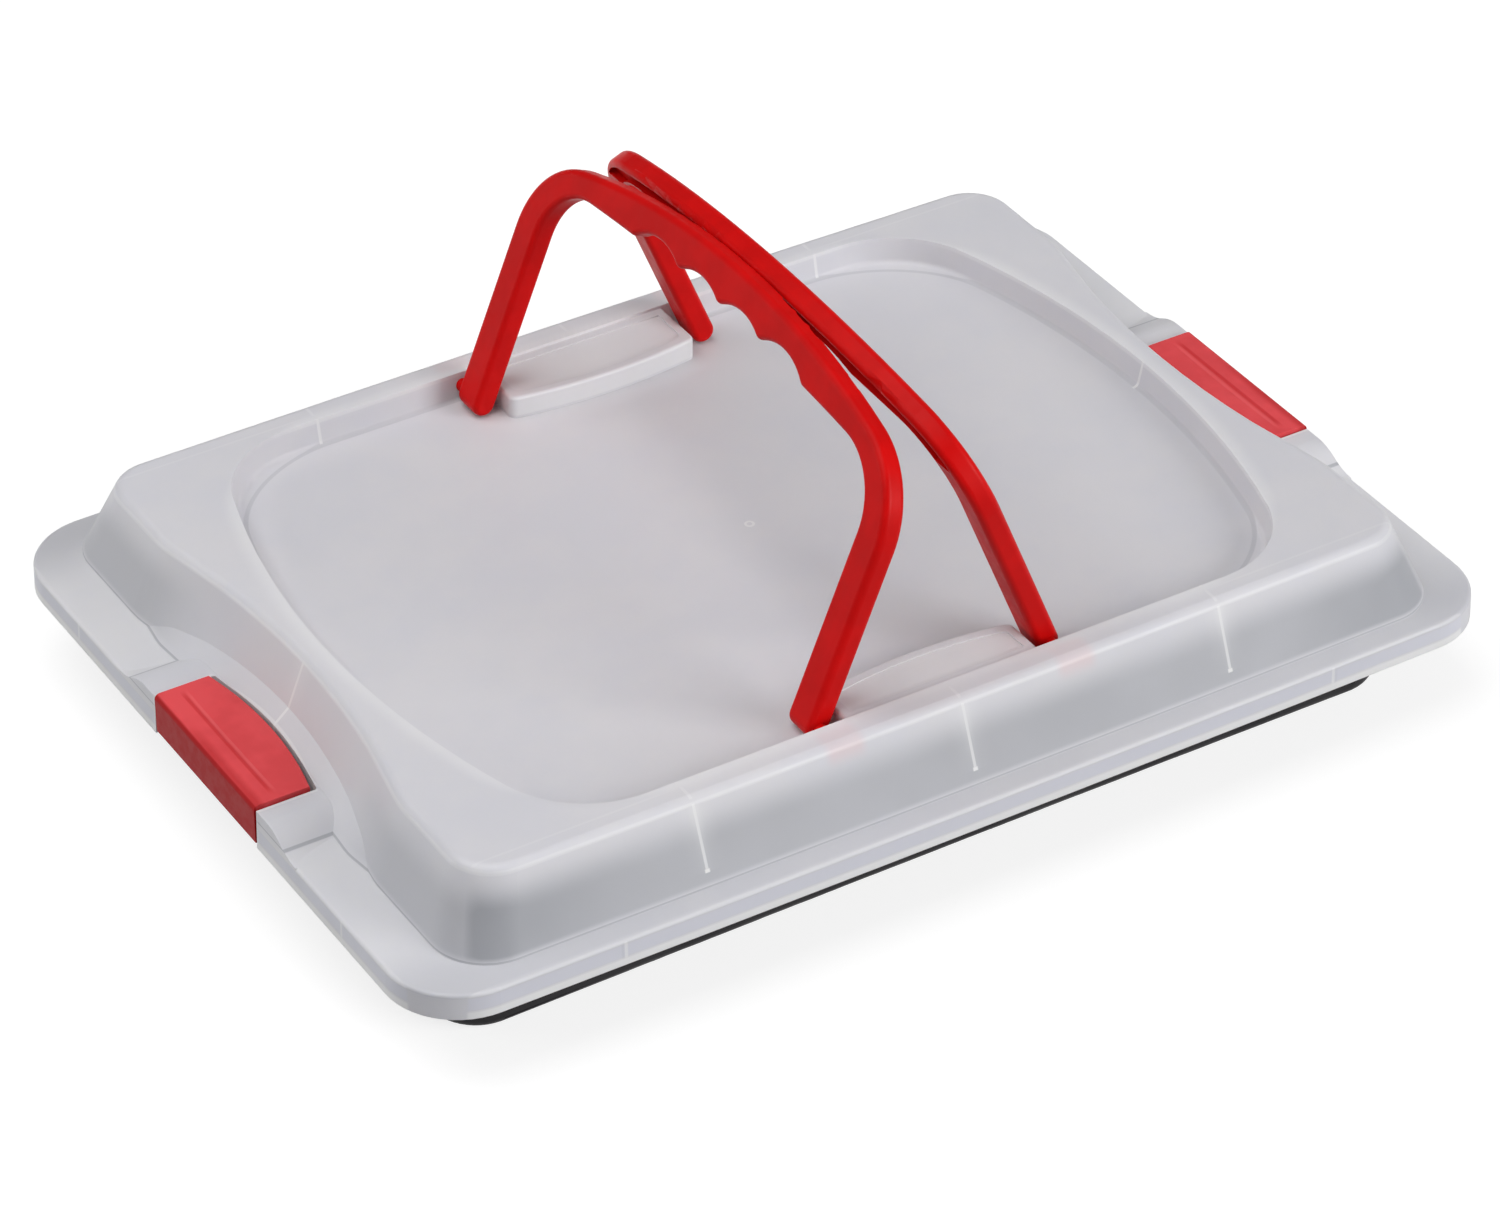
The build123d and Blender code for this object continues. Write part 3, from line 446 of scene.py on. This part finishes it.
def red_plastic(name, bright, deep, gloss, rough, marks=None):
    """Red polypropylene with a faint orange-peel skin.

    The bright and the deep red differ by a tenth, in clouds 20 mm across, and a function given for
    the painted shade and highlights draws them over these. Cells of 0.5 mm, 5 micrometres deep,
    break the gloss up, and scuffs 5 mm across make patches of it a tenth rougher. gloss is the
    strength of the reflection and rough its lowest roughness.
    """
    f = Finish(name)
    colour = f.blend(f.ramp(f.noise(RED_CLOUDS, 3.0, 0.6), *NARROW), deep, bright)
    if marks:
        colour = marks(f, colour)
    scuffs = f.noise(RED_SCUFFS, 4.0, 0.7)
    f.set(Base_Color=colour, Roughness=f.ramp(scuffs, *NARROW, rough, rough + SCUFF))
    f.set(IOR=PLASTIC_IOR, Specular_IOR_Level=gloss)
    f.set(Subsurface_Weight=0.12, Subsurface_Radius=RED_BLEED, Subsurface_Scale=1.0)
    f.set(Normal=f.bump(f.cells(RED_CELLS), RED_DEPTH, RED_STRENGTH))
    return f.material


def coated_steel():
    """Dark non-stick coating on pressed steel.

    It is near black, with fine paler flecks where a point is close to one of the points scattered
    0.7 mm apart. Patches 30 mm across make the flecks fainter or clearer and the satin gloss a
    little rougher. The flecks stand 6 micrometres up, over the low waves that pressing leaves.
    """
    f = Finish("coated_steel")
    flecks = f.ramp(f.cells(FLECK_CELLS), *FLECK_EDGE, 1.0, 0.0)
    patches = f.noise(STEEL_PATCHES, 3.0, 0.6)
    fleck_share = f.both(flecks, f.ramp(patches, *WIDE, *FLECK_SHARES))
    waves = f.bump(patches, WAVE_HEIGHT, WAVE_STRENGTH)
    f.set(Base_Color=f.blend(fleck_share, PAN_BLACK, PAN_SPECK))
    f.set(Roughness=f.ramp(patches, *WIDE, *STEEL_ROUGH), IOR=COATING_IOR, Specular_IOR_Level=0.09)
    f.set(Normal=f.bump(flecks, FLECK_HEIGHT, FLECK_STRENGTH, under=waves))
    return f.material


def dress(node, material):
    """Gives a CAD node's every material slot the finish."""
    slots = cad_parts[node].data.materials
    for i in range(len(slots)):
        slots[i] = material


# ------------------------------------------------------------------ floor, lamps and camera

def pale_floor():
    """A flat sheet just under the pan, matt light grey with a fine grain. To the camera, in
    reflections and through the plastic it also glows, which makes it white except in shadow."""
    half = FLOOR_HALF
    corners = [(x, y, -FLOOR_DROP)
               for x, y in ((-half, -half), (half, -half), (half, half), (-half, half))]
    sheet = bpy.data.meshes.new("floor")
    sheet.from_pydata(corners, [], [(0, 1, 2, 3)])
    sheet.update()
    floor = bpy.data.objects.new("floor", sheet)
    bpy.context.scene.collection.objects.link(floor)
    f = Finish("pale_floor")
    f.set(Base_Color=f.blend(f.noise(900.0), *FLOOR_GREYS), Roughness=0.9, Specular_IOR_Level=0.1)
    ray = f.node("ShaderNodeLightPath").outputs
    seen = f.most(ray["Is Camera Ray"], ray["Is Glossy Ray"], ray["Is Transmission Ray"])
    dark = f.node("ShaderNodeEmission", {"Strength": 0.0}).outputs[0]
    bright = f.node("ShaderNodeEmission", {"Color": WHITE, "Strength": FLOOR_GLOW}).outputs[0]
    glow = f.node("ShaderNodeMixShader", {0: seen, 1: dark, 2: bright}).outputs[0]
    lit = f.node("ShaderNodeAddShader", {0: f.shader.outputs[0], 1: glow}).outputs[0]
    out = next(n for n in f.tree.nodes if n.type == "OUTPUT_MATERIAL")
    f.put(out.inputs["Surface"], lit)
    sheet.materials.append(f.material)


def soft_box(name, place, aim, width, height, power):
    """A rectangular lamp at place that faces aim."""
    lamp = bpy.data.lights.new(name, "AREA")
    lamp.shape = "RECTANGLE"
    lamp.size, lamp.size_y = width, height
    lamp.energy = power
    made = bpy.data.objects.new(name, lamp)
    bpy.context.scene.collection.objects.link(made)
    made.location = place
    made.rotation_mode = "QUATERNION"
    made.rotation_quaternion = (Vector(aim) - Vector(place)).to_track_quat("-Z", "Y")


def white_room(strength):
    """The world: white to the camera and through the plastic, and to all else a dim even light of
    the given strength."""
    world = bpy.data.worlds.new("white_room")
    bpy.context.scene.world = world
    world.use_nodes = True
    tree = world.node_tree
    back = next(n for n in tree.nodes if n.type == "BACKGROUND")
    back.inputs["Color"].default_value = WHITE
    path = tree.nodes.new("ShaderNodeLightPath")
    seen = tree.nodes.new("ShaderNodeMath")
    seen.operation = "MAXIMUM"
    tree.links.new(path.outputs["Is Camera Ray"], seen.inputs[0])
    tree.links.new(path.outputs["Is Transmission Ray"], seen.inputs[1])
    level = tree.nodes.new("ShaderNodeMapRange")
    level.inputs["To Min"].default_value = strength
    level.inputs["To Max"].default_value = 1.0
    tree.links.new(seen.outputs[0], level.inputs["Value"])
    tree.links.new(level.outputs["Result"], back.inputs["Strength"])


def photo_camera():
    """The photograph's viewpoint: DISTANCE from AIM, turned TURN about Z from the front and raised
    by RISE, rolled by TILT, with a lens of LENS on a sensor of SENSOR millimetres."""
    turn, rise, tilt = (math.radians(angle) for angle in (TURN, RISE, TILT))
    back = Vector((math.sin(turn) * math.cos(rise), -math.cos(turn) * math.cos(rise),
                   math.sin(rise)))
    level = Vector((math.cos(turn), math.sin(turn), 0.0))
    upright = back.cross(level)
    right = math.cos(tilt) * level + math.sin(tilt) * upright
    up = math.cos(tilt) * upright - math.sin(tilt) * level
    lens = bpy.data.cameras.new("photo_camera")
    lens.lens, lens.sensor_width = LENS, SENSOR
    lens.clip_start, lens.clip_end = NEAREST, FARTHEST
    made = bpy.data.objects.new("photo_camera", lens)
    bpy.context.scene.collection.objects.link(made)
    made.matrix_world = Matrix((
        (right.x, up.x, back.x, AIM[0] + DISTANCE * back.x),
        (right.y, up.y, back.y, AIM[1] + DISTANCE * back.y),
        (right.z, up.z, back.z, AIM[2] + DISTANCE * back.z),
        (0.0, 0.0, 0.0, 1.0),
    ))
    bpy.context.scene.camera = made


# ------------------------------------------------------------------ the scene

dress("lid", milky_plastic())
dress("pan", coated_steel())
for side in ("left", "right"):
    dress(f"handle_{side}", red_plastic(f"handle_red_{side}", HANDLE_RED, HANDLE_DEEP,
                                        HANDLE_GLOSS, HANDLE_ROUGH))
    # The clips' red holds a painted sheen, and their painted shade and highlight are drawn over it.
    dress(f"clip_{side}", red_plastic(f"clip_red_{side}", CLIP_RED, CLIP_DEEP,
                                      CLIP_GLOSS, CLIP_ROUGH, clip_painted_light))

pale_floor()
white_room(ROOM_LIGHT)
for row in LAMPS:
    soft_box(*row)
photo_camera()
bpy.context.scene.view_settings.view_transform = "Standard"
